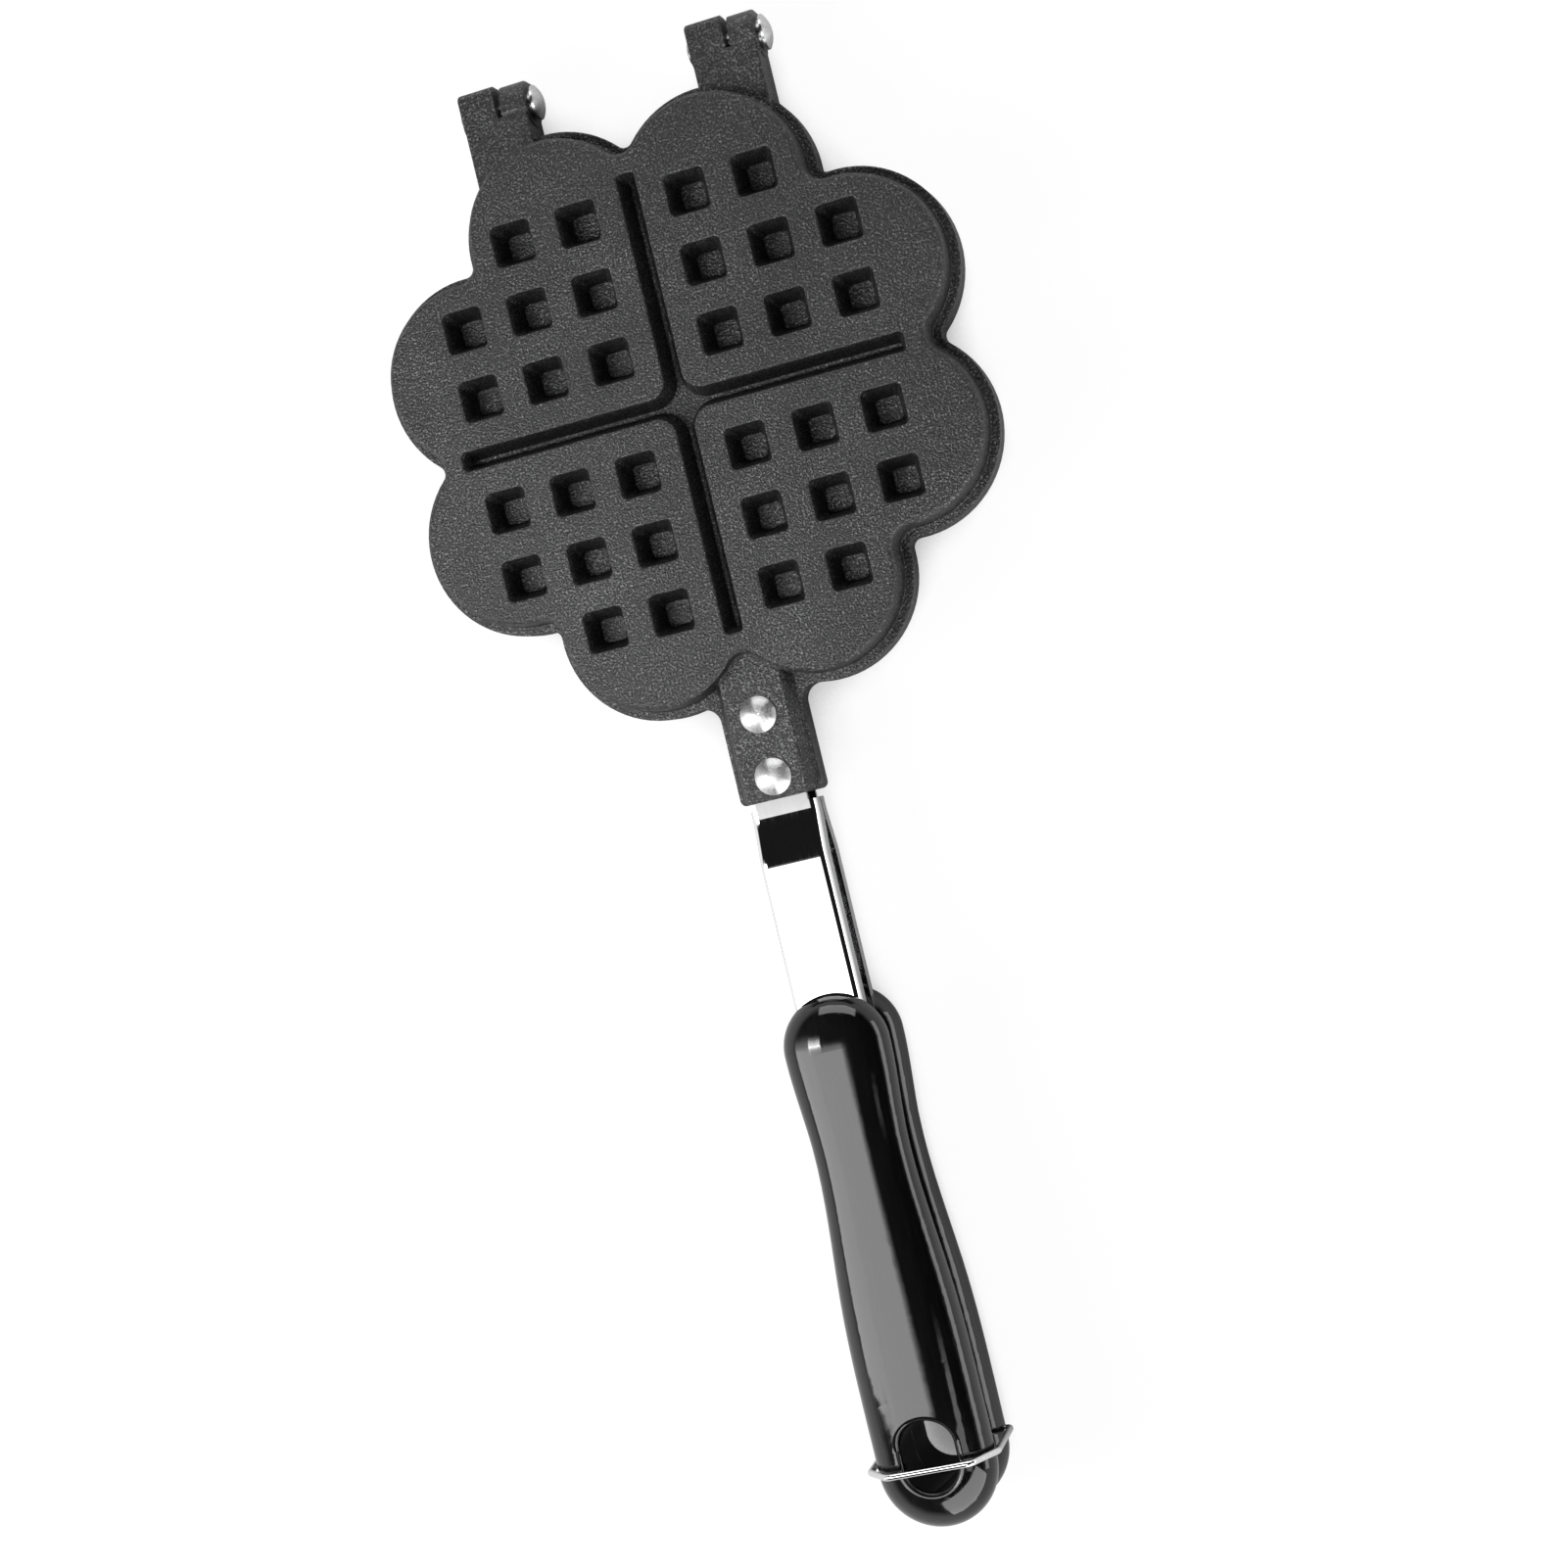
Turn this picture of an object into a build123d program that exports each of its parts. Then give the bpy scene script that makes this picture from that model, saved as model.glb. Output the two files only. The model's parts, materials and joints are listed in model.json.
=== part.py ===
from build123d import *
from math import atan2, cos, degrees, radians, sin, sqrt
import os

os.makedirs("parts", exist_ok=True)

# Heart waffle pan: two hinged castings, each with a riveted steel strap and a moulded grip.
# X runs along the hinge pins, +Y points from the handles to the hinge, +Z is up.
# The origin is the middle of the lower casting's flat stove face. Sizes are millimetres.

# Baking plates
plate_height = 11.3          # parting plane to the flat stove face of one plate
parting_gap = 0.3            # between the two closed rims
lobe_count = 8
lobe_distance = 52.0         # middle of the pan to the centre of a lobe
lobe_radius = 22.0           # at the edge of the stove face
notch_radius = 5.0           # rounding between two lobes
wall_draft = 0.9             # how far the side wall leans out towards the rim
rim_overhang = 2.8           # rim beyond the edge of the stove face
rim_thickness = 3.15
stove_edge_chamfer = 0.8
edge_rounding = 1.0            # of the ends of the ridges
floor_thickness = 3.0
side_wall = 3.0              # side wall at the floor of the baking cavity
cavity_draft = 1.2           # how far the cavity opens towards the parting plane

# Waffle pattern: a pit on the stove face is a peg in the cavity
pit_pitch = 17.0
first_pit = 13.96            # middle of the pan to the first row of pits
pits_per_side = 3            # rows in a quarter, which has no pit in its outer corner
pit_width = 10.2
pit_floor_width = 6.0
pit_depth = 7.2
pit_corner = 1.4
peg_width = 13.2
peg_tip_width = 10.4
peg_chamfer = 1.5
peg_clearance = 1.6          # peg tip to the parting plane

# Cross groove on the stove face, which is the ridge between the hearts inside
groove_width = 4.9
groove_floor_width = 1.0
groove_depth = 5.8
groove_half_length = 56.5
groove_end_corner = 1.2
groove_floor_corner = 0.35
quarter_corner = 4.5         # rounded corner of each quarter at the middle of the pan
ridge_width = 8.8
ridge_tip_width = 4.0
ridge_clearance = 2.0        # ridge tip to the parting plane

# Hinge
hinge_y = 81.8
ear_inner = 21.1             # middle of the pan to the near side of an ear
ear_width = 16.9
ear_height = 5.7             # parting plane to the flat outer side of an ear
ear_root = 56.0              # where the ear starts inside the wall of the plate
ear_draft = 4.0              # degrees that the sides of an ear lean in towards its outer side
knuckle_radius = 5.9
knuckle_gap = 0.3            # knuckle to the hollow in the other ear
knuckle_slot = 1.2           # between neighbouring knuckles along the pin
upper_knuckle_width = 9.2
knuckle_corner = 2.0
knuckle_end_rounding = 0.7
pin_diameter = 4.2
pin_clearance = 0.05         # in the upper knuckles; the pin is pressed into the lower ones
pin_head_diameter = 8.6
pin_head_rim = 0.6
pin_head_height = 2.1
pin_collar_diameter = 6.4
pin_collar_height = 0.9      # under the head, against the lower knuckle
pin_tail_diameter = 5.6
pin_tail_height = 0.7
pin_tail_gap = 0.3           # pin tail to the upper knuckle

# Handle lug of a plate
lug_half_width = 10.4
lug_end = 97.4               # middle of the pan to the end of the lug
lug_root = 56.0
lug_corner = 1.5
lug_neck_radius = 4.0
pad_height = 7.3             # parting plane to the flat top of the lug
pad_half_width = 7.85
pad_foot_half_width = 9.7
pad_edge_rounding = 0.8
pocket_start = 70.0          # inner end of the pocket that holds the strap
pocket_clearance = 0.3       # round the tongue of the strap

# Strap
strap_thickness = 1.2
strap_skin = 2.0             # lug over the strap
tongue_width = 13.0
tongue_corner = 2.0
channel_width = 16.8
channel_depth = 5.0
channel_bend = 1.9
channel_start = 99.2
ramp_start = 102.5
ramp_end = 112.0
strap_rise = 2.6             # between the tongue and the straight channel
ramp_radius = 9.0
channel_in_grip = 30.4      # length of the channel inside the grip
tang_width = 11.0
tang_in_grip = 88.4         # front of the grip to the end of the tang
tang_hole_diameter = 5.0
tang_hole_inset = 9.0
tang_hole_spacing = 28.0

# Rivets through lug and strap
rivet_places = (76.6, 91.9)
rivet_diameter = 5.0
rivet_clearance = 0.05
rivet_head_diameter = 9.0
rivet_head_rim = 0.35
rivet_head_height = 2.2
rivet_tail_diameter = 7.6
rivet_tail_height = 1.4
tail_chamfer = 0.4           # of rivets and hinge pins

# Grips
grip_front = 145.6
grip_length = 130.7
bulge_at = 12.8              # these three lie behind the front of the grip
waist_at = 35.5
swell_at = 72.0
bulge_half_width = 13.1
waist_half_width = 11.8
swell_half_width = 13.9
end_radius = 14.6
grip_flatness = 0.597        # thickness of the grip over its width
grip_axis_height = 8.3       # parting plane to the axis of the grip
grip_gap = 0.6               # between the closed grips
hang_hole_width = 13.2
hang_hole_length = 17.4
hang_hole_from_end = 19.0    # end of the grip to the middle of the hole
hang_hole_rounding = 1.3

# Wire bail that locks the two grips
wire_diameter = 1.6
bail_from_end = 16.5         # end of the grips to the bail
leg_clearance = 0.5          # leg beside the grips
bar_half_length = 10.4
bar_clearance = 1.0          # bar over the upper grip
shoulder_drop = 7.3          # bar down to where the legs begin
bail_bend = 2.2
pivot_bend = 1.3
pivot_depth = 4.2            # of the bail's ends in the sides of the lower grip
pivot_clearance = 0.06
pivot_end_gap = 0.4

# Worked out from the sizes above
half_gap = parting_gap / 2
cavity_height = plate_height - floor_thickness
tongue_top = pad_height - strap_skin
lower_knuckle_width = ear_width - upper_knuckle_width - knuckle_slot
lug_middle = (0, -(lug_root + lug_end) / 2)
lug_length = lug_end - lug_root
rivet_points = [(0, -place) for place in rivet_places]
grip_end = grip_front + grip_length
grip_half_thickness = end_radius * grip_flatness
channel_end = grip_front + channel_in_grip
tang_end = grip_front + tang_in_grip
bail_y = bail_from_end - grip_end

# Both halves are drawn outwards from the parting plane; the lower one is turned over about Y
upper_seat = Plane((0, 0, plate_height))
lower_seat = Plane((0, 0, plate_height), x_dir=(-1, 0, 0), z_dir=(0, 0, -1))


def polar(distance, angle):
    return Vector(distance, 0).rotate(Axis.Z, angle)


def flower(height, grow):
    """Lobed outline of the pan, grown outwards or shrunk from the edge of the stove face."""
    half_step = 180 / lobe_count
    lobe_out = lobe_distance * cos(radians(half_step))
    lobe_side = lobe_distance * sin(radians(half_step))
    notch_distance = lobe_out + sqrt((lobe_radius + notch_radius) ** 2 - lobe_side ** 2)
    to_notch = polar(notch_distance, half_step) - Vector(lobe_distance, 0)
    swing = degrees(atan2(to_notch.Y, to_notch.X))
    with BuildSketch(Plane.XY.offset(height)) as outline:
        with BuildLine():
            for lobe in range(lobe_count):
                middle = half_step * (2 * lobe + 1)
                arc = CenterArc(polar(lobe_distance, middle), lobe_radius + grow,
                                middle - swing, 2 * swing)
                following = polar(lobe_distance, middle + 2 * half_step)
                following += polar(lobe_radius + grow, middle + 2 * half_step - swing)
                notch = polar(notch_distance - notch_radius + grow, middle + half_step)
                ThreePointArc(arc @ 1, notch, following)
        make_face()
    return outline.sketch


def tapered_square(wide, wide_height, narrow, narrow_height):
    """Square block that tapers, where two wedge-shaped bars cross."""
    with BuildPart() as block:
        for plane, mode in ((Plane.XZ, Mode.ADD), (Plane.YZ, Mode.INTERSECT)):
            with BuildSketch(plane):
                with BuildLine():
                    Polyline((-wide / 2, wide_height), (wide / 2, wide_height),
                             (narrow / 2, narrow_height), (-narrow / 2, narrow_height),
                             close=True)
                make_face()
            extrude(amount=wide / 2, both=True, mode=mode)
    return block.part


def slanting(edge):
    """Whether an edge runs up a corner of a tapered block."""
    return abs((edge % 0.5).Z) > 0.5


def cross(height, width, half_length, inner_corner, end_corner):
    """Two crossed bars with rounded ends, and rounded corners where they meet."""
    with BuildSketch(Plane.XY.offset(height)) as outline:
        Rectangle(2 * half_length, width)
        Rectangle(width, 2 * half_length)
        fillet(outline.vertices().group_by(SortBy.DISTANCE)[0], inner_corner)
        fillet(outline.vertices().group_by(SortBy.DISTANCE)[-1], end_corner)
    return outline.sketch


def pit_places():
    """Rows and columns of one quarter without the outer corner, in all four quarters."""
    places = []
    for column in range(pits_per_side):
        for row in range(pits_per_side):
            if column + row == 2 * (pits_per_side - 1):
                continue
            x = first_pit + column * pit_pitch
            y = first_pit + row * pit_pitch
            places += [(x, y), (-x, y), (x, -y), (-x, -y)]
    return places


# One pit, from the stove face down, and one peg, from the floor of the cavity down
with BuildPart() as pit:
    add(tapered_square(pit_width, plate_height, pit_floor_width, plate_height - pit_depth))
    fillet(pit.edges().filter_by(slanting), pit_corner)

with BuildPart() as peg:
    add(tapered_square(peg_width, cavity_height, peg_tip_width, peg_clearance))
    chamfer(peg.edges().filter_by(slanting), peg_chamfer)

# Baking cavity, before its ridges and pegs
with BuildPart() as cavity:
    loft([flower(half_gap, cavity_draft - side_wall), flower(cavity_height, -side_wall)],
         ruled=True)

# Raised pad of the handle lug, over the strap
with BuildPart() as pad:
    for level, half_width in ((rim_thickness, pad_foot_half_width),
                              (pad_height, pad_half_width)):
        with BuildSketch(Plane.XY.offset(level)):
            with Locations(lug_middle):
                Rectangle(2 * half_width, lug_length)
    loft(ruled=True)
    end_face = pad.faces().sort_by(Axis.Y)[0]
    fillet(end_face.edges().filter_by(Axis.X, reverse=True), lug_corner)
    top_face = pad.faces().sort_by(Axis.Z)[-1]
    fillet(top_face.edges(), pad_edge_rounding)

# Pan with its rim, lug and waffle pattern, drawn upwards from the parting plane
with BuildPart() as pan:
    with BuildSketch(Plane.XY.offset(half_gap)) as rim:
        add(flower(0, rim_overhang))
        with Locations(lug_middle):
            Rectangle(2 * lug_half_width, lug_length)
        fillet(rim.vertices().group_by(Axis.Y)[0], lug_corner)
        on_lug_side = rim.vertices().filter_by(
            lambda v: abs(abs(v.X) - lug_half_width) < 0.01)
        fillet(on_lug_side.group_by(Axis.Y)[-1], lug_neck_radius)
    extrude(amount=rim_thickness)
    loft([flower(half_gap, wall_draft), flower(plate_height, 0)], ruled=True)
    stove_face = pan.faces().sort_by(Axis.Z)[-1]
    chamfer(stove_face.edges(), stove_edge_chamfer)
    add(pad.part)

    # Cavity with the ridges between the hearts and a peg behind each pit
    add(cavity.part, mode=Mode.SUBTRACT)
    ridge_reach = lobe_distance + notch_radius + side_wall
    ridge_lean = (ridge_width - ridge_tip_width) / 2
    loft([cross(cavity_height, ridge_width, ridge_reach, quarter_corner, edge_rounding),
          cross(ridge_clearance, ridge_tip_width, ridge_reach,
                quarter_corner + ridge_lean, edge_rounding)], ruled=True)
    with Locations(pit_places()):
        add(peg.part)

    # Cross groove and pits on the stove face
    groove_lean = (groove_width - groove_floor_width) / 2
    loft([cross(plate_height, groove_width, groove_half_length, quarter_corner,
                groove_end_corner),
          cross(plate_height - groove_depth, groove_floor_width,
                groove_half_length - groove_lean, quarter_corner + groove_lean,
                groove_floor_corner)], ruled=True, mode=Mode.SUBTRACT)
    with Locations(pit_places()):
        add(pit.part, mode=Mode.SUBTRACT)

    # Pocket under the pad for the tongue of the strap, and the rivet holes
    with BuildSketch(Plane.XY):
        with Locations((0, -(pocket_start + lug_end) / 2)):
            Rectangle(tongue_width + 2 * pocket_clearance, lug_end - pocket_start)
    extrude(amount=tongue_top, mode=Mode.SUBTRACT)
    with BuildSketch(Plane.XY.offset(tongue_top)):
        with Locations(rivet_points):
            Circle(rivet_diameter / 2 + rivet_clearance)
    extrude(amount=strap_skin, mode=Mode.SUBTRACT)


def hinge_ears(knuckle_width, bore_clearance):
    """Two ears, each half knuckle and half hollow for the knuckle of the other casting."""
    with BuildPart() as ears:
        for ear_start in (-ear_inner - ear_width, ear_inner):
            with BuildSketch(Plane.XZ.offset(-hinge_y)):
                with Locations((ear_start + ear_width / 2, (half_gap + ear_height) / 2)):
                    Trapezoid(ear_width, ear_height - half_gap, 90 - ear_draft)
            extrude(amount=hinge_y - ear_root)
            side = Plane((ear_start, hinge_y, 0), x_dir=(0, 1, 0), z_dir=(1, 0, 0))
            with BuildSketch(side.offset(knuckle_width)):
                Circle(knuckle_radius + knuckle_gap)
            extrude(amount=ear_width - knuckle_width, mode=Mode.SUBTRACT)
            with BuildSketch(side) as knuckle:
                Circle(knuckle_radius)
                Rectangle(2 * knuckle_radius, 2 * ear_height, mode=Mode.INTERSECT)
                with Locations((knuckle_radius / 2, ear_height / 2)):
                    Rectangle(knuckle_radius, ear_height)
                outer_corner = knuckle.vertices().sort_by(lambda v: v.X + v.Y)[-1]
                fillet(outer_corner, knuckle_corner)
            extrude(amount=knuckle_width)
            end_rim = ears.edges().filter_by(
                lambda e: abs(e.center().X - ear_start) < 0.01 and e.center().Y > hinge_y + 1)
            fillet(end_rim, knuckle_end_rounding)
            with BuildSketch(side):
                Circle(pin_diameter / 2 + bore_clearance)
            extrude(amount=knuckle_width, mode=Mode.SUBTRACT)
        add(cavity.part, mode=Mode.SUBTRACT)
    return ears.part


upper_ears = hinge_ears(upper_knuckle_width, pin_clearance)
lower_ears = hinge_ears(lower_knuckle_width, 0)

with BuildPart(upper_seat) as upper_plate:
    add(pan.part)
    add(upper_ears)

with BuildPart(lower_seat) as lower_plate:
    add(pan.part)
    add(lower_ears)

# Pressed steel strap: flat tongue in the lug, channel outside it, tang in the grip
tongue_web = tongue_top - strap_thickness / 2
channel_web = tongue_web + strap_rise
with BuildPart() as strap:
    with BuildLine(Plane.YZ) as path:
        FilletPolyline((-channel_start, tongue_web), (-ramp_start, tongue_web),
                       (-ramp_end, channel_web), (-channel_end, channel_web),
                       radius=ramp_radius)
    start = Plane((0, -channel_start, tongue_web), x_dir=(1, 0, 0), z_dir=(0, -1, 0))
    with BuildSketch(start) as section:
        with Locations((0, (strap_thickness - channel_depth) / 2)):
            Rectangle(channel_width, channel_depth)
        fillet(section.vertices().group_by(Axis.Y)[-1], channel_bend)
        inner_half_width = channel_width / 2 - strap_thickness
        with Locations((0, -(strap_thickness + channel_depth) / 2)):
            Rectangle(2 * inner_half_width, channel_depth, mode=Mode.SUBTRACT)
        inner = section.vertices().filter_by(
            lambda v: abs(abs(v.X) - inner_half_width) < 0.01)
        fillet(inner.group_by(Axis.Y)[-1], channel_bend - strap_thickness)
    sweep(path=path.wires()[0])

    tongue_start = pocket_start + pocket_clearance
    with BuildSketch(Plane.XY.offset(tongue_top)) as tongue:
        with Locations((0, -(tongue_start + channel_start) / 2)):
            Rectangle(tongue_width, channel_start - tongue_start)
        fillet(tongue.vertices().group_by(Axis.Y)[-1], tongue_corner)
        with Locations(rivet_points):
            Circle(rivet_diameter / 2 + rivet_clearance, mode=Mode.SUBTRACT)
    extrude(amount=-strap_thickness)

    # The moulding of the grip fills the two holes of the tang
    with BuildSketch(Plane.XY.offset(channel_web + strap_thickness / 2)) as tang:
        with Locations((0, -(channel_end + tang_end) / 2)):
            Rectangle(tang_width, tang_end - channel_end)
        fillet(tang.vertices().group_by(Axis.Y)[0], tongue_corner)
        with Locations((0, tang_hole_inset - tang_end),
                       (0, tang_hole_inset + tang_hole_spacing - tang_end)):
            Circle(tang_hole_diameter / 2, mode=Mode.SUBTRACT)
    extrude(amount=-strap_thickness)

with BuildPart(upper_seat) as upper_strap:
    add(strap.part)

with BuildPart(lower_seat) as lower_strap:
    add(strap.part)


def domed_fastener(head_diameter, head_rim, head_height, shank_diameter, shank_length,
                   tail_diameter, tail_height):
    """Rivet or pin along Z: domed head above zero, shank and flat tail below it."""
    head = head_diameter / 2
    shank = shank_diameter / 2
    tail = tail_diameter / 2
    crown = head_height - head_rim
    crown_radius = (head ** 2 + crown ** 2) / (2 * crown)
    with BuildPart() as fastener:
        with BuildSketch(Plane.XZ):
            with BuildLine():
                Polyline((0, head_height), (0, -shank_length - tail_height),
                         (tail - tail_chamfer, -shank_length - tail_height),
                         (tail, tail_chamfer - shank_length - tail_height),
                         (tail, -shank_length), (shank, -shank_length),
                         (shank, 0), (head, 0), (head, head_rim))
                RadiusArc((head, head_rim), (0, head_height), -crown_radius)
            make_face()
        revolve(axis=Axis.Z)
    return fastener.part


rivet = domed_fastener(rivet_head_diameter, rivet_head_rim, rivet_head_height,
                       rivet_diameter, strap_skin + strap_thickness,
                       rivet_tail_diameter, rivet_tail_height)

with BuildPart() as hinge_pin:
    add(domed_fastener(pin_head_diameter, pin_head_rim, pin_head_height, pin_diameter,
                       pin_collar_height + ear_width + pin_tail_gap,
                       pin_tail_diameter, pin_tail_height))
    with BuildSketch():
        Circle(pin_collar_diameter / 2)
    extrude(amount=-pin_collar_height)

rear_rivet, front_rivet = [(0, y, pad_height) for x, y in rivet_points]

with BuildPart(upper_seat) as upper_rivet_rear:
    with Locations(rear_rivet):
        add(rivet)

with BuildPart(upper_seat) as upper_rivet_front:
    with Locations(front_rivet):
        add(rivet)

with BuildPart(lower_seat) as lower_rivet_rear:
    with Locations(rear_rivet):
        add(rivet)

with BuildPart(lower_seat) as lower_rivet_front:
    with Locations(front_rivet):
        add(rivet)

left_head = (pin_collar_height - ear_inner, hinge_y, plate_height)
with BuildPart(Plane(left_head, z_dir=(1, 0, 0))) as hinge_pin_left:
    add(hinge_pin.part)

right_head = (ear_inner + ear_width + pin_collar_height, hinge_y, plate_height)
with BuildPart(Plane(right_head, z_dir=(1, 0, 0))) as hinge_pin_right:
    add(hinge_pin.part)

# Round grip, turned about Y and then flattened to an oval
with BuildPart() as turned_grip:
    with BuildSketch():
        with BuildLine():
            bulge = (bulge_half_width, -grip_front - bulge_at)
            end_centre = end_radius - grip_end
            EllipticalCenterArc((0, -grip_front - bulge_at), bulge_half_width, bulge_at,
                                start_angle=0, arc_size=90)
            Spline(bulge, (waist_half_width, -grip_front - waist_at),
                   (swell_half_width, -grip_front - swell_at), (end_radius, end_centre),
                   tangents=[(0, -1), (0, -1)])
            CenterArc((0, end_centre), end_radius, 0, -90)
            Line((0, -grip_end), (0, -grip_front))
        make_face()
    revolve(axis=Axis.Y)
    scale(by=(1, 1, grip_flatness))

def on_outer_rim(edge):
    """Whether an edge belongs to the rim of the hanging hole on the outer side."""
    middle = edge.center()
    beside = abs(middle.X) < hang_hole_width / 2 + 0.1
    along = abs(middle.Y + grip_end - hang_hole_from_end) < hang_hole_length / 2 + 0.1
    return beside and along and middle.Z > grip_axis_height + 1 and abs((edge % 0.5).Z) < 0.9


# Grip with its flat inner side and its hanging hole, moulded round the strap
with BuildPart() as grip:
    with Locations((0, 0, grip_axis_height)):
        add(turned_grip.part)
    with BuildSketch(Plane.XY.offset(grip_gap / 2)):
        with Locations((0, -(grip_front + grip_end) / 2)):
            Rectangle(3 * end_radius, 2 * grip_length)
    extrude(amount=-2 * end_radius, mode=Mode.SUBTRACT)
    with BuildSketch(Plane.XY):
        with Locations((0, hang_hole_from_end - grip_end)):
            SlotCenterToCenter(hang_hole_length - hang_hole_width, hang_hole_width,
                               rotation=90)
    extrude(amount=4 * end_radius, mode=Mode.SUBTRACT)
    fillet(grip.edges().filter_by(on_outer_rim), hang_hole_rounding)
    add(strap.part, mode=Mode.SUBTRACT)

with BuildPart(upper_seat) as upper_grip:
    add(grip.part)

# The lower grip also has the two holes in which the bail turns
with BuildPart() as pivot_holes:
    pivot_tip = end_radius - pivot_depth
    with BuildSketch(Plane.YZ.offset(pivot_tip - pivot_end_gap)):
        with Locations((bail_y, grip_axis_height)):
            Circle(wire_diameter / 2 + pivot_clearance)
    extrude(amount=end_radius)
    mirror(about=Plane.YZ)

with BuildPart(lower_seat) as lower_grip:
    add(grip.part)
    add(pivot_holes.part, mode=Mode.SUBTRACT)

# Wire bail, drawn in its own plane across the grips
with BuildPart() as locking_bail:
    leg = end_radius + leg_clearance + wire_diameter / 2
    pivot_z = plate_height - grip_axis_height
    bar_z = plate_height + grip_axis_height + grip_half_thickness + bar_clearance
    bar_z += wire_diameter / 2
    across = Plane((0, bail_y, 0), x_dir=(1, 0, 0), z_dir=(0, -1, 0))
    with BuildLine(across) as bail_path:
        FilletPolyline((-pivot_tip, pivot_z), (-leg, pivot_z), (-leg, bar_z - shoulder_drop),
                       (-bar_half_length, bar_z), (bar_half_length, bar_z),
                       (leg, bar_z - shoulder_drop), (leg, pivot_z), (pivot_tip, pivot_z),
                       radius=[pivot_bend] + 4 * [bail_bend] + [pivot_bend])
    with BuildSketch(Plane((-pivot_tip, bail_y, pivot_z), z_dir=(-1, 0, 0))):
        Circle(wire_diameter / 2)
    sweep(path=bail_path.wires()[0])

pieces = {
    "upper_plate": upper_plate,
    "lower_plate": lower_plate,
    "hinge_pin_left": hinge_pin_left,
    "hinge_pin_right": hinge_pin_right,
    "upper_strap": upper_strap,
    "lower_strap": lower_strap,
    "upper_rivet_rear": upper_rivet_rear,
    "upper_rivet_front": upper_rivet_front,
    "lower_rivet_rear": lower_rivet_rear,
    "lower_rivet_front": lower_rivet_front,
    "upper_grip": upper_grip,
    "lower_grip": lower_grip,
    "locking_bail": locking_bail,
}
for name, piece in pieces.items():
    piece.part.label = name
    export_step(piece.part, f"parts/{name}.step")
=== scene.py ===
import json
from math import pi, radians

import bpy
from mathutils import Matrix, Vector

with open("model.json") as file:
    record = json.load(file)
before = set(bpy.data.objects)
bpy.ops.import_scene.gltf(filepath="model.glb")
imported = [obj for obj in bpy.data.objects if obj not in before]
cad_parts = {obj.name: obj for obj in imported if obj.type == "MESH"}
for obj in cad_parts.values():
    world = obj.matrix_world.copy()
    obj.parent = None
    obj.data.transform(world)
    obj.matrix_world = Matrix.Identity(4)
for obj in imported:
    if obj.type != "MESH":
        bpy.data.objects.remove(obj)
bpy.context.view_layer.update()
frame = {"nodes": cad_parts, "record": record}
scene = bpy.context.scene

# Camera fitted to the photograph, in metres
CAMERA_PLACE = (0.161246, -0.094909, 0.66352)
CAMERA_RIGHT = (0.94378351, -0.23446679, -0.23301932)
CAMERA_DOWN = (-0.22787145, -0.97212364, 0.05522883)
CAMERA_FORWARD = (-0.23947292, 0.00097439, -0.97090256)
CAMERA_LENS = 63.583
SENSOR_WIDTH = 36.0

# Coating of the castings. Scales are in grains per metre, depths and radii in metres
GRAIN_SCALE = 1900.0
GRAIN_DEPTH = 0.00028
CLOUD_SCALE = 45.0
CLOUD_DEPTH = 0.0002
CLOUD_SHARE = 0.16
RUB_SCALE = 120.0
EDGE_SOFTNESS = 0.0008
COATING_DARK = (0.001, 0.001, 0.001, 1)
COATING_MIDDLE = (0.007, 0.007, 0.0072, 1)
COATING_LIGHT = (0.17, 0.17, 0.172, 1)
COATING_ROUGHNESS = (0.48, 0.42)
BARE_METAL = (0.60, 0.74)                        # noise levels, from coating to specks

# Metal and plastic, in the same units
LINE_SCALE = 2200.0
LINE_DEPTH = 0.000002
HAZE_SCALE = 70.0
HAZE_DEPTH = 0.000012
PLATING_SHADE = 0.80
WIRE_SHADE = 0.60
TURNING_RINGS = 36                               # across the piece
RING_DEPTH = 0.000003
GRIT_SCALE = 2500.0
TURNED_DARK = (0.42, 0.42, 0.43, 1)
TURNED_LIGHT = (0.60, 0.60, 0.60, 1)
TURNED_ROUGHNESS = (0.30, 0.42)
PEEL_SCALE = 260.0
PEEL_DEPTH = 0.000008
MARK_SCALE = 900.0
PLASTIC_DARK = (0.018, 0.018, 0.0185, 1)
PLASTIC_LIGHT = (0.030, 0.030, 0.031, 1)
PLASTIC_ROUGHNESS = (0.05, 0.13)

# The pan stands on its grips and on the rear edge of the stove face
FLOOR_TILT = radians(0.987)
FLOOR_HEIGHT = -0.0013
FLOOR_HALF = 6.0
FLOOR_GLOW = 0.97
# Painted shadow: ambient occlusion near the pan dims the floor's glow, both to the camera and in
# reflections
FLOOR_SHADOW_REACH = 0.03
FLOOR_SHADOW = (0.05, 0.5, 0.12, 1.0)            # from openness, low and high, to glow
MIRRORED_SHADOW_REACH = 0.045
MIRRORED_SHADOW = (0.45, 0.95, 0.02, 1.0)
FLOOR_GREY = (0.5, 0.5, 0.5, 1)
FLOOR_LIT_GREY = (0.16, 0.16, 0.16, 1)
FLOOR_FADE_START = 0.5
FLOOR_FADE_END = 1.1
FILL_STRENGTH = 0.08
OVERHEAD = (0.14, 0.38, 1.0, 0.01)               # from height, low and high, to glow
WHITE = (1, 1, 1, 1)


def plug(tree, socket, value):
    """Links a node's output to the socket, or sets the socket to a plain value."""
    if isinstance(value, bpy.types.NodeSocket):
        tree.links.new(value, socket)
    else:
        socket.default_value = value


def node(tree, kind, inputs=(), **settings):
    """Adds a shader node with its settings, and fills its inputs by name or number."""
    made = tree.nodes.new(kind)
    for name, value in settings.items():
        setattr(made, name, value)
    for name, value in dict(inputs).items():
        plug(tree, made.inputs[name], value)
    return made


def math(tree, operation, *values):
    return node(tree, "ShaderNodeMath", enumerate(values), operation=operation).outputs[0]


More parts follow.
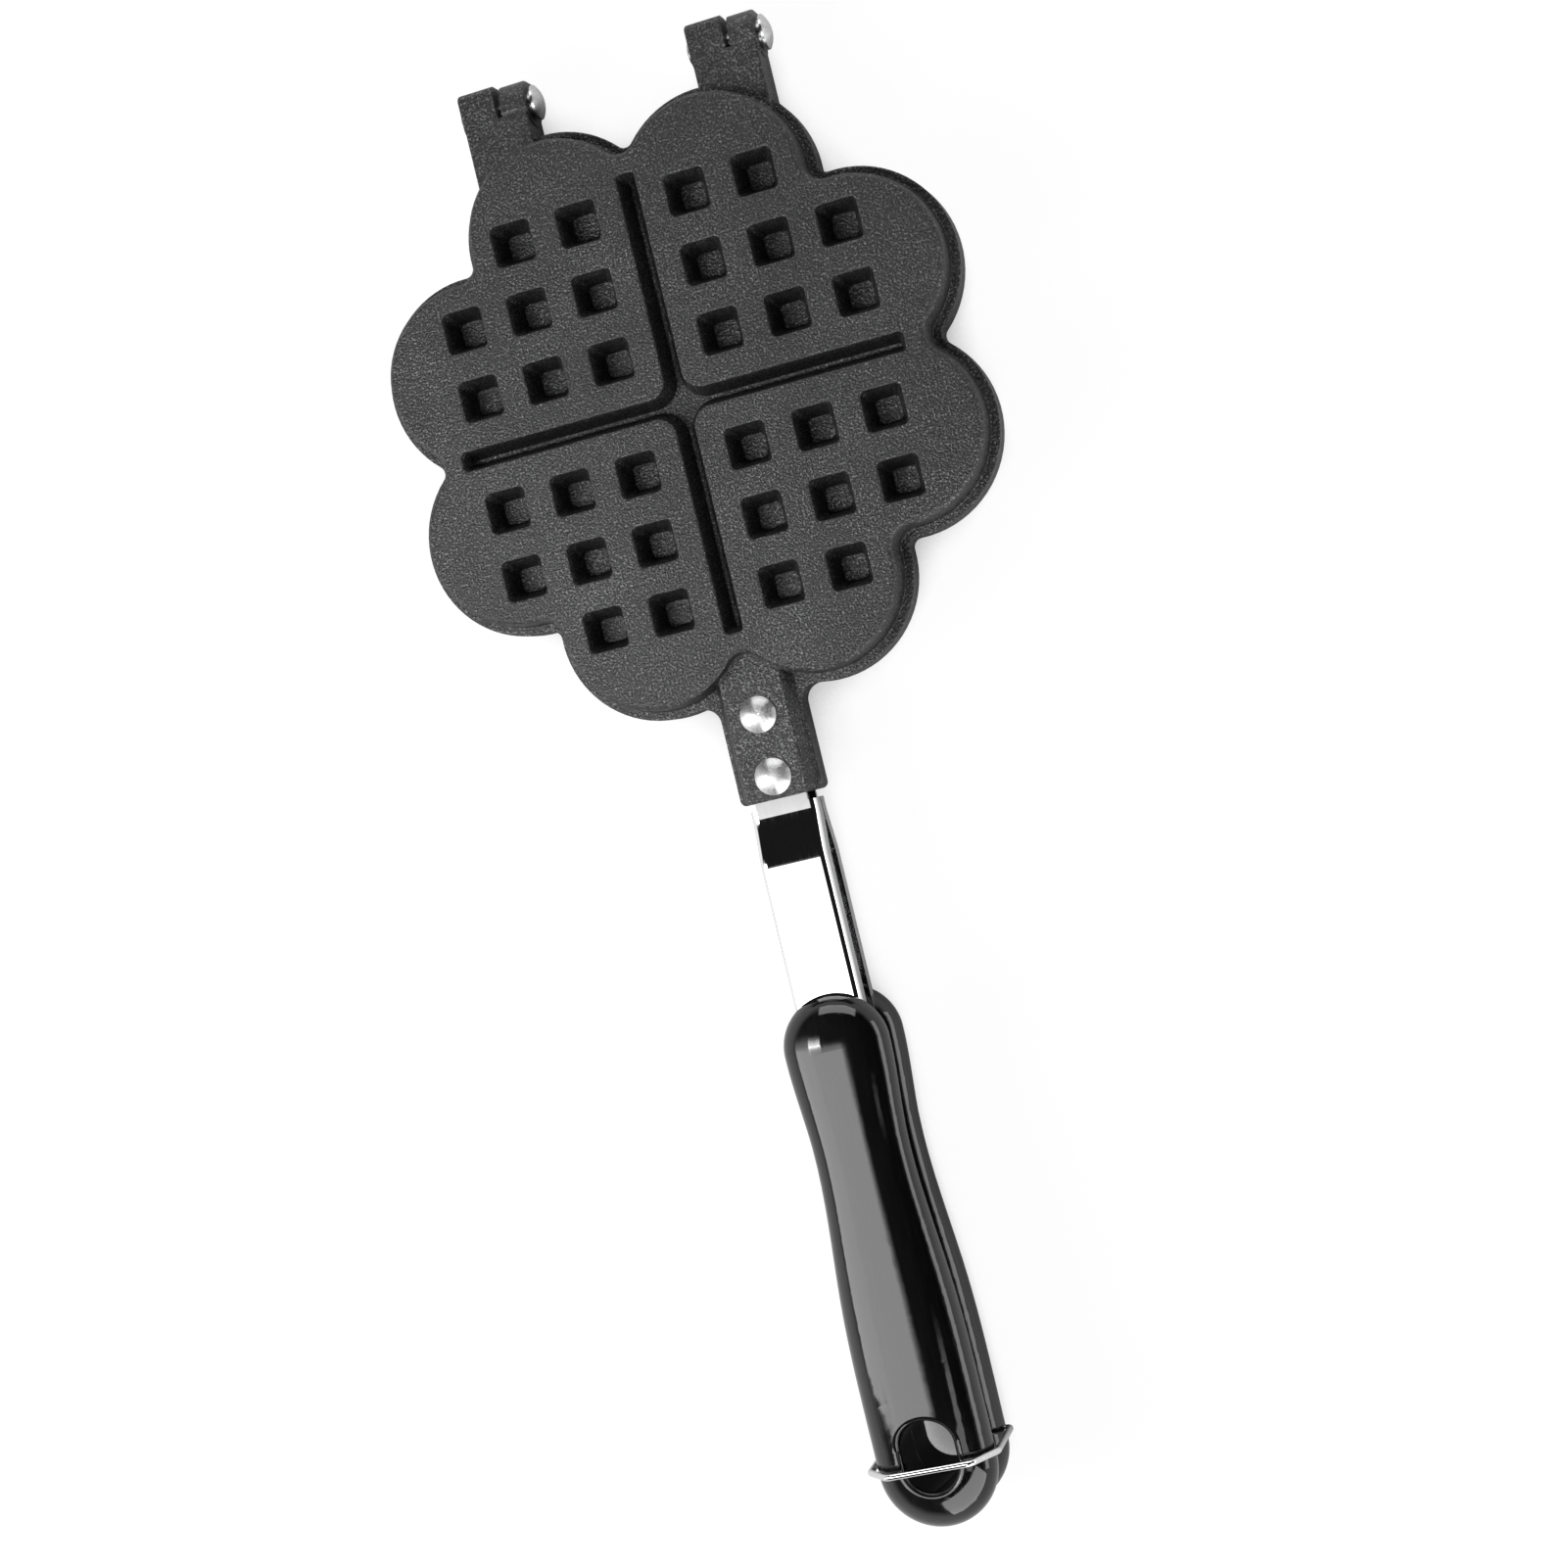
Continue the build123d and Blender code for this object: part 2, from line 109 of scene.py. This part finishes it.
def object_place(tree, stretch=(1, 1, 1)):
    """Place on the piece in metres, scaled along each axis."""
    place = node(tree, "ShaderNodeTexCoord").outputs["Object"]
    return node(tree, "ShaderNodeVectorMath", {0: place, 1: stretch},
                operation="MULTIPLY").outputs[0]


def noise(tree, place, scale, detail=2.0, roughness=0.5):
    return node(tree, "ShaderNodeTexNoise",
                {"Vector": place, "Scale": scale, "Detail": detail,
                 "Roughness": roughness}).outputs["Fac"]


def spread(tree, value, low, high, to_low, to_high):
    """Moves a value from one range to another, without leaving the second one."""
    return node(tree, "ShaderNodeMapRange",
                {"Value": value, "From Min": low, "From Max": high,
                 "To Min": to_low, "To Max": to_high}).outputs[0]


def colour_ramp(tree, value, stops):
    made = node(tree, "ShaderNodeValToRGB", {0: value})
    elements = made.color_ramp.elements
    while len(elements) < len(stops):
        elements.new(0.5)
    for element, (position, colour) in zip(elements, stops):
        element.position = position
        element.color = colour
    return made.outputs[0]


def bump(tree, height, distance, normal=None):
    inputs = {"Height": height, "Distance": distance}
    if normal is not None:
        inputs["Normal"] = normal
    return node(tree, "ShaderNodeBump", inputs).outputs[0]


def material(name, **sockets):
    """New material: its node tree and its Principled shader with plain values set."""
    made = bpy.data.materials.new(name)
    made.use_nodes = True
    shader = made.node_tree.nodes["Principled BSDF"]
    for socket, value in sockets.items():
        shader.inputs[socket.replace("_", " ")].default_value = value
    return made, made.node_tree, shader


def coated_casting():
    """Non-stick coating with fine metallic specks over a sand-like casting."""
    made, tree, shader = material("coated_casting", Specular_IOR_Level=0.5)
    place = object_place(tree)
    grain = noise(tree, place, GRAIN_SCALE)
    cloud = noise(tree, place, CLOUD_SCALE, detail=3.0)
    mixed = math(tree, "ADD", grain, math(tree, "MULTIPLY", cloud, CLOUD_SHARE))
    colour = colour_ramp(tree, mixed, [(0.44, COATING_DARK), (0.58, COATING_MIDDLE),
                                       (0.78, COATING_LIGHT)])
    plug(tree, shader.inputs["Base Color"], colour)
    plug(tree, shader.inputs["Metallic"], spread(tree, mixed, *BARE_METAL, 0.0, 1.0))
    rub = noise(tree, object_place(tree, (1, 3, 1)), RUB_SCALE, detail=4.0)
    plug(tree, shader.inputs["Roughness"], spread(tree, rub, 0.3, 0.7, *COATING_ROUGHNESS))
    edges = node(tree, "ShaderNodeBevel", {"Radius": EDGE_SOFTNESS}, samples=6).outputs[0]
    casting = bump(tree, cloud, CLOUD_DEPTH, edges)
    plug(tree, shader.inputs["Normal"], bump(tree, grain, GRAIN_DEPTH, casting))
    return made


def chrome(name, stretch, roughness, shade):
    """Bright metal of a given shade, with faint lines along the piece."""
    made, tree, shader = material(name, Metallic=1.0)
    place = object_place(tree, stretch)
    lines = noise(tree, place, LINE_SCALE, detail=3.0)
    haze = noise(tree, object_place(tree), HAZE_SCALE, detail=4.0)
    colour = colour_ramp(tree, haze, [(0.3, (shade, shade, 1.01 * shade, 1)),
                                      (0.7, (1.1 * shade, 1.1 * shade, 1.11 * shade, 1))])
    plug(tree, shader.inputs["Base Color"], colour)
    plug(tree, shader.inputs["Roughness"],
         spread(tree, lines, 0.35, 0.65, roughness, roughness + 0.06))
    wave = bump(tree, haze, HAZE_DEPTH)
    plug(tree, shader.inputs["Normal"], bump(tree, lines, LINE_DEPTH, wave))
    return made


def turned_steel(name, axis):
    """Bright steel with turning rings round the axis of the piece."""
    made, tree, shader = material(name, Metallic=1.0, Anisotropic=0.8,
                                  Anisotropic_Rotation=0.25)
    across = [0 if letter == axis else 1 for letter in "XYZ"]
    place = node(tree, "ShaderNodeTexCoord").outputs["Generated"]
    centred = node(tree, "ShaderNodeVectorMath", {0: place, 1: (-0.5, -0.5, -0.5)},
                   operation="ADD").outputs[0]
    flat = node(tree, "ShaderNodeVectorMath", {0: centred, 1: across},
                operation="MULTIPLY").outputs[0]
    distance = node(tree, "ShaderNodeVectorMath", {0: flat}, operation="LENGTH").outputs["Value"]
    rings = math(tree, "SINE", math(tree, "MULTIPLY", distance, 2 * pi * TURNING_RINGS))
    grit = noise(tree, object_place(tree), GRIT_SCALE)
    colour = colour_ramp(tree, grit, [(0.3, TURNED_DARK), (0.7, TURNED_LIGHT)])
    plug(tree, shader.inputs["Base Color"], colour)
    plug(tree, shader.inputs["Roughness"], spread(tree, grit, 0.3, 0.7, *TURNED_ROUGHNESS))
    tangent = node(tree, "ShaderNodeTangent", direction_type="RADIAL", axis=axis).outputs[0]
    plug(tree, shader.inputs["Tangent"], tangent)
    plug(tree, shader.inputs["Normal"], bump(tree, rings, RING_DEPTH))
    return made


def gloss_plastic():
    """Black moulded plastic with a slight orange peel and fine handling marks."""
    made, tree, shader = material("grip_plastic", IOR=1.5)
    peel = noise(tree, object_place(tree), PEEL_SCALE)
    marks = noise(tree, object_place(tree, (1, 0.08, 1)), MARK_SCALE, detail=4.0)
    colour = colour_ramp(tree, marks, [(0.3, PLASTIC_DARK), (0.8, PLASTIC_LIGHT)])
    plug(tree, shader.inputs["Base Color"], colour)
    plug(tree, shader.inputs["Roughness"], spread(tree, marks, 0.4, 0.8, *PLASTIC_ROUGHNESS))
    plug(tree, shader.inputs["Normal"], bump(tree, peel, PEEL_DEPTH))
    return made


finishes = {
    "coated_casting": coated_casting(),
    "strap_chrome": chrome("strap_chrome", stretch=(1, 0.03, 1), roughness=0.03,
                           shade=PLATING_SHADE),
    "rivet_steel": turned_steel("rivet_steel", "Z"),
    "pin_steel": turned_steel("pin_steel", "X"),
    "grip_plastic": gloss_plastic(),
    "bail_wire": chrome("bail_wire", stretch=(1, 1, 1), roughness=0.06, shade=WIRE_SHADE),
}
for subpart in frame["record"]["subparts"]:
    for slot in frame["nodes"][subpart["node"]].material_slots:
        slot.material = finishes[subpart["material_slot"]]


def seen_or_mirrored(tree):
    """1 for camera, glossy and transmission rays, which show the white background,
    and 1 for camera rays alone."""
    path = node(tree, "ShaderNodeLightPath").outputs
    mirrored = math(tree, "MAXIMUM", path["Is Glossy Ray"], path["Is Transmission Ray"])
    return math(tree, "MAXIMUM", path["Is Camera Ray"], mirrored), path["Is Camera Ray"]


def white_world():
    """White to the camera, dim overhead in reflections, and a soft even fill light."""
    world = bpy.data.worlds.new("studio")
    scene.world = world
    world.use_nodes = True
    tree = world.node_tree
    tree.nodes.clear()
    seen, by_camera = seen_or_mirrored(tree)
    direction = node(tree, "ShaderNodeTexCoord").outputs["Generated"]
    height = node(tree, "ShaderNodeSeparateXYZ", {0: direction}).outputs["Z"]
    overhead = spread(tree, height, *OVERHEAD)
    shown = math(tree, "MAXIMUM", overhead, by_camera)
    backdrop = node(tree, "ShaderNodeBackground", {"Color": shown, "Strength": 1.0}).outputs[0]
    fill = node(tree, "ShaderNodeBackground",
                {"Color": WHITE, "Strength": FILL_STRENGTH}).outputs[0]
    mixed = node(tree, "ShaderNodeMixShader", {0: seen, 1: fill, 2: backdrop}).outputs[0]
    node(tree, "ShaderNodeOutputWorld", {"Surface": mixed})


def open_above(tree, reach):
    """1 in the open, lower where a piece lies within the reach. The floor paints its shadow with
    it.
    """
    return node(tree, "ShaderNodeAmbientOcclusion", {"Distance": reach}, samples=8).outputs["AO"]


def floor():
    """Pale floor that the camera sees as white, with a faint shadow: real on its grey diffuse
    part, and painted where ambient occlusion dims its glow near the pan.
    """
    half = FLOOR_HALF
    mesh = bpy.data.meshes.new("floor")
    mesh.from_pydata([(-half, -half, 0), (half, -half, 0), (half, half, 0), (-half, half, 0)],
                     [], [(0, 1, 2, 3)])
    plane = bpy.data.objects.new("floor", mesh)
    scene.collection.objects.link(plane)
    plane.location = (0, 0, FLOOR_HEIGHT)
    plane.rotation_euler = (FLOOR_TILT, 0, 0)
    made = bpy.data.materials.new("floor")
    made.use_nodes = True
    tree = made.node_tree
    tree.nodes.clear()
    seen, by_camera = seen_or_mirrored(tree)
    plain = node(tree, "ShaderNodeBsdfDiffuse", {"Color": FLOOR_GREY}).outputs[0]
    # Painted shadow: the glow dims where the pan lies within reach, for reflections and for the
    # camera
    to_mirrors = spread(tree, open_above(tree, MIRRORED_SHADOW_REACH), *MIRRORED_SHADOW)
    to_camera = spread(tree, open_above(tree, FLOOR_SHADOW_REACH), *FLOOR_SHADOW)
    shade = node(tree, "ShaderNodeMix", {0: by_camera, 2: to_mirrors, 3: to_camera}).outputs[0]
    glow = math(tree, "MULTIPLY", shade, FLOOR_GLOW)
    near = node(tree, "ShaderNodeAddShader", {
        0: node(tree, "ShaderNodeEmission", {"Color": WHITE, "Strength": glow}).outputs[0],
        1: node(tree, "ShaderNodeBsdfDiffuse", {"Color": FLOOR_LIT_GREY}).outputs[0],
    }).outputs[0]
    far = node(tree, "ShaderNodeEmission", {"Color": WHITE, "Strength": 1.0}).outputs[0]
    distance = node(tree, "ShaderNodeVectorMath", {0: object_place(tree)},
                    operation="LENGTH").outputs["Value"]
    fade = spread(tree, distance, FLOOR_FADE_START, FLOOR_FADE_END, 0.0, 1.0)
    white = node(tree, "ShaderNodeMixShader", {0: fade, 1: near, 2: far}).outputs[0]
    top = node(tree, "ShaderNodeMixShader", {0: seen, 1: plain, 2: white}).outputs[0]
    clear = node(tree, "ShaderNodeBsdfTransparent").outputs[0]
    below = node(tree, "ShaderNodeNewGeometry").outputs["Backfacing"]
    both = node(tree, "ShaderNodeMixShader", {0: below, 1: top, 2: clear}).outputs[0]
    node(tree, "ShaderNodeOutputMaterial", {"Surface": both})
    mesh.materials.append(made)


def softbox(name, place, target, width, height, radiance, fades=(), mirrored_only=False):
    """Rectangular lamp facing the target, with its width level. A fade dims it along an axis."""
    lamp = bpy.data.lights.new(name, "AREA")
    lamp.shape = "RECTANGLE"
    lamp.size = width
    lamp.size_y = height
    lamp.energy = radiance * pi * width * height
    lamp.use_nodes = True
    tree = lamp.node_tree
    position = node(tree, "ShaderNodeNewGeometry").outputs["Position"]
    places = node(tree, "ShaderNodeSeparateXYZ", {0: position}).outputs
    strength = 1.0
    for axis, bright, dark in fades:
        fade = spread(tree, places[axis], bright, dark, 1.0, 0.0)
        strength = math(tree, "MULTIPLY", strength, math(tree, "POWER", fade, 2.0))
    plug(tree, tree.nodes["Emission"].inputs["Strength"], strength)
    made = bpy.data.objects.new(name, lamp)
    scene.collection.objects.link(made)
    away = (Vector(place) - Vector(target)).normalized()
    level = Vector((0, 0, 1)).cross(away).normalized()
    made.matrix_world = Matrix.Translation(place) @ Matrix(
        (level, away.cross(level), away)).transposed().to_4x4()
    made.visible_camera = False
    made.visible_diffuse = not mirrored_only


white_world()
floor()
# Each lamp's name, place, target, width, height, radiance and fades, as (axis, bright, dark)
softbox("left_box", (-0.753, -0.09, 0.478), (-0.398, -0.09, -0.162), 0.72, 0.55, 5.9,
        [("Y", -0.18, 0.20)])
softbox("top_box", (-0.185, -0.16, 0.793), (0.17, -0.16, 0.153), 0.68, 0.75, 5.6,
        [("Y", -0.24, -0.02), ("X", 0.0, 0.16)], mirrored_only=True)
softbox("plate_box", (-0.44, -0.05, 0.66), (0, -0.05, 0.02), 0.60, 0.25, 26.0,
        [("Y", -0.10, -0.22), ("Y", -0.10, 0.10)], mirrored_only=True)
softbox("back_box", (0.125, 0.79, 0.46), (0, -0.10, 0.02), 1.06, 0.43, 3.6, mirrored_only=True)
softbox("right_box", (0.61, -0.47, 0.79), (0, -0.25, 0.02), 0.26, 0.14, 2.5,
        [("Y", -0.46, -0.34)], mirrored_only=True)
softbox("low_box", (0.9, -0.2, 0.14), (0, -0.2, 0.02), 0.9, 0.22, 3.0, mirrored_only=True)
softbox("front_box", (0.42, -1.05, 0.53), (0, -0.27, 0.02), 1.35, 0.66, 4.5, mirrored_only=True)

camera = bpy.data.objects.new("camera", bpy.data.cameras.new("camera"))
scene.collection.objects.link(camera)
camera.data.lens = CAMERA_LENS
camera.data.sensor_width = SENSOR_WIDTH
camera.data.clip_start = 0.01
camera.matrix_world = Matrix.Translation(CAMERA_PLACE) @ Matrix(
    (CAMERA_RIGHT, -Vector(CAMERA_DOWN), -Vector(CAMERA_FORWARD))).transposed().to_4x4()
scene.camera = camera

scene.view_settings.view_transform = "Standard"
